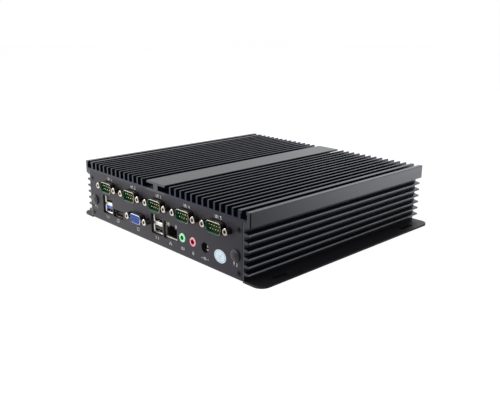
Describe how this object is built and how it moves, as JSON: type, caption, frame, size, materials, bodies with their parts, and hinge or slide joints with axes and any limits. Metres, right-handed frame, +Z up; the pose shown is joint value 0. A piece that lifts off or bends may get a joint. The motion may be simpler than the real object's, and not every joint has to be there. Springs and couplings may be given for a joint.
{
  "type": "fanless box computer",
  "caption": "Flat fanless computer with finned aluminium top and sides, slotted mounting ears, and one wall of serial, video, data, audio and power sockets.",
  "frame": {"origin": "centre of the base plate's underside", "axes": "+Z up, the connector wall faces -Y, +X to the right when looking at that wall"},
  "size_m": [0.24, 0.2212, 0.0525],
  "materials": {
    "tray_paint": "fine matt black powder coat",
    "black_aluminium": "black anodised, lengthwise draw lines",
    "black_screw": "black oxide",
    "plated_shell": "bright tin plate",
    "nickel": "bright nickel plate",
    "green_insert": "moulded, satin",
    "gold_contact": "gold flash",
    "blue_insert": "moulded, satin",
    "black_plastic": "moulded, satin",
    "plug_rubber": "soft matt",
    "speaker_green": "moulded, satin",
    "microphone_pink": "moulded, satin",
    "board_laminate": "solder mask",
    "ribbon_grey": "ribbed flat cable",
    "pad_grey": "soft, slightly tacky",
    "plain_aluminium": "milled",
    "label_film": "satin film",
    "lamp_lens": "clear tinted",
    "switch_metal": "turned, fine lay"
  },
  "bodies": {
    "case": {"base_tray": "tray_paint", "top_heatsink": "black_aluminium", "left_side_heatsink": "black_aluminium", "right_side_heatsink": "black_aluminium", "wall_screws": "black_screw", "lid_screws": "black_screw", "serial_shell_1": "plated_shell", "serial_shell_2": "plated_shell", "serial_shell_3": "plated_shell", "serial_shell_4": "plated_shell", "serial_shell_5": "plated_shell", "video_shell": "plated_shell", "usb3_shell": "plated_shell", "usb2_shell": "plated_shell", "hdmi_shell": "plated_shell", "lan_shell": "plated_shell", "jackscrews": "nickel", "board_standoffs": "nickel", "board_screws": "nickel", "heat_block_screws": "nickel", "storage_post": "nickel", "switch_nut": "nickel", "clock_cell": "nickel", "serial_insert_1": "green_insert", "serial_insert_2": "green_insert", "serial_insert_3": "green_insert", "serial_insert_4": "green_insert", "serial_insert_5": "green_insert", "serial_pins": "gold_contact", "lan_contacts": "gold_contact", "inlet_contacts": "gold_contact", "video_insert": "blue_insert", "usb3_lower_tongue": "blue_insert", "usb3_upper_tongue": "black_plastic", "usb2_tongues": "black_plastic", "hdmi_tongue": "black_plastic", "lan_body": "black_plastic", "inlet_body": "black_plastic", "serial_headers": "black_plastic", "ribbon_sockets": "black_plastic", "memory_socket": "black_plastic", "storage_socket": "black_plastic", "cell_holder": "black_plastic", "processor": "black_plastic", "antenna_plugs": "plug_rubber", "speaker_jack": "speaker_green", "microphone_jack": "microphone_pink", "main_board": "board_laminate", "memory_card": "board_laminate", "storage_card": "board_laminate", "serial_ribbons": "ribbon_grey", "thermal_pad": "pad_grey", "heat_block": "plain_aluminium", "inspection_label": "label_film", "lan_lamps": "lamp_lens", "indicator_lamps": "lamp_lens", "switch_body": "switch_metal"},
    "button": {"power_button": "switch_metal"}
  },
  "joints": [
    {"name": "button_press", "type": "slide", "parent": "case", "child": "button", "axis": [0, -1, 0], "range_m": [0, 0.001], "stiffness_N_per_m": 2500}
  ]
}
